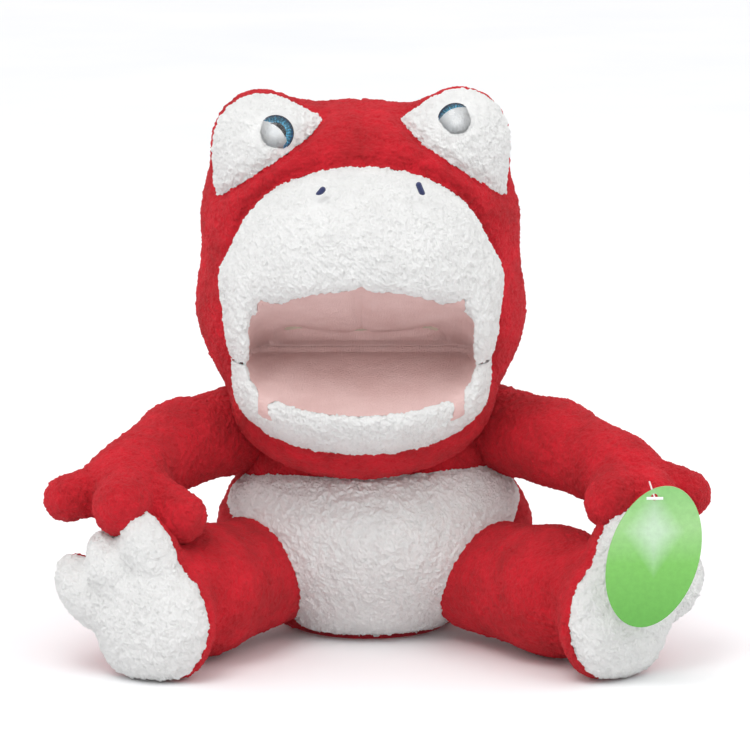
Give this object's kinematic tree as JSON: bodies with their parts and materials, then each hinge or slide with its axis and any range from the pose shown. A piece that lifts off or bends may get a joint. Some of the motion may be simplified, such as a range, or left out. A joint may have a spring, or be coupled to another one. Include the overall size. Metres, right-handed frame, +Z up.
{
  "type": "hand puppet",
  "caption": "Seated plush hand puppet with a frog-like head; a hand enters through the seat and works the nodding head and the padded mouth.",
  "frame": {"origin": "centre of the hand opening, at the level of the seat", "axes": "+Z up, -Y the way the face looks, +X the viewer's right"},
  "size_m": [0.2908, 0.1936, 0.2457],
  "materials": {
    "red_plush": "matte",
    "white_plush": "matte",
    "pink_fleece": "matte",
    "lining_cloth": "matte",
    "hem_cloth": "matte",
    "filling": "matte",
    "label_cloth": "matte",
    "mouth_board": "matte",
    "nostril_thread": "satin",
    "eye_clear": "gloss",
    "eye_glitter": "gloss",
    "eye_black": "gloss",
    "washer_plastic": "matte",
    "tag_card": "satin",
    "tag_nylon": "satin"
  },
  "bodies": {
    "torso": {"torso_skin": "red_plush", "belly_panel": "white_plush", "torso_stuffing": "filling", "sleeve_lining": "lining_cloth", "opening_hem": "hem_cloth", "care_label": "label_cloth"},
    "neck": {"neck_skin": "red_plush", "neck_lining": "lining_cloth"},
    "head": {"head_skin": "red_plush", "muzzle_panel": "white_plush", "eye_patch_left": "white_plush", "eye_patch_right": "white_plush", "head_stuffing": "filling", "head_lining": "lining_cloth", "palate_upper": "pink_fleece", "mouth_board_upper": "mouth_board", "finger_pocket": "lining_cloth", "nostril_stitches": "nostril_thread", "eye_dome_left": "eye_clear", "eye_dome_right": "eye_clear", "eye_iris_left": "eye_glitter", "eye_iris_right": "eye_glitter", "eye_pupil_left": "eye_black", "eye_pupil_right": "eye_black", "eye_shank_left": "eye_black", "eye_shank_right": "eye_black", "eye_washer_left": "washer_plastic", "eye_washer_right": "washer_plastic"},
    "jaw": {"jaw_panel": "white_plush", "chin_skin": "red_plush", "palate_lower": "pink_fleece", "mouth_board_lower": "mouth_board", "thumb_pocket": "lining_cloth", "jaw_stuffing": "filling"},
    "arm_left": {"arm_skin_left": "red_plush", "arm_stuffing_left": "filling"},
    "arm_right": {"arm_skin_right": "red_plush", "arm_stuffing_right": "filling", "tag_fastener": "tag_nylon"},
    "leg_left": {"leg_skin_left": "red_plush", "sole_panel_left": "white_plush", "leg_stuffing_left": "filling"},
    "leg_right": {"leg_skin_right": "red_plush", "sole_panel_right": "white_plush", "leg_stuffing_right": "filling"},
    "tag": {"swing_tag": "tag_card"}
  },
  "joints": [
    {"name": "head_turn", "type": "hinge", "parent": "torso", "child": "neck", "pos_m": [0, 0, 0.092], "axis": [0, 0, 1], "range_deg": [-10, 10]},
    {"name": "head_nod", "type": "hinge", "parent": "neck", "child": "head", "pos_m": [0, 0, 0.092], "axis": [1, 0, 0], "range_deg": [-12, 6]},
    {"name": "jaw_open", "type": "hinge", "parent": "head", "child": "jaw", "pos_m": [0, -0.042, 0.135], "axis": [1, 0, 0], "range_deg": [-40, 10]},
    {"name": "arm_left_lift", "type": "hinge", "parent": "torso", "child": "arm_left", "pos_m": [-0.06, 0, 0.086], "axis": [-0.809, 0.5878, 0], "range_deg": [0, 20]},
    {"name": "arm_right_lift", "type": "hinge", "parent": "torso", "child": "arm_right", "pos_m": [0.06, 0, 0.086], "axis": [-0.809, -0.5878, 0], "range_deg": [0, 20]},
    {"name": "leg_left_spread", "type": "hinge", "parent": "torso", "child": "leg_left", "pos_m": [-0.05, -0.034, 0.03], "axis": [0, 0, -1], "range_deg": [0, 15]},
    {"name": "leg_right_spread", "type": "hinge", "parent": "torso", "child": "leg_right", "pos_m": [0.05, -0.034, 0.03], "axis": [0, 0, 1], "range_deg": [0, 15]},
    {"name": "tag_swing", "type": "hinge", "parent": "arm_right", "child": "tag", "pos_m": [0.1217, -0.134, 0.0856], "axis": [0, 1, 0], "range_deg": [-20, 20]}
  ]
}
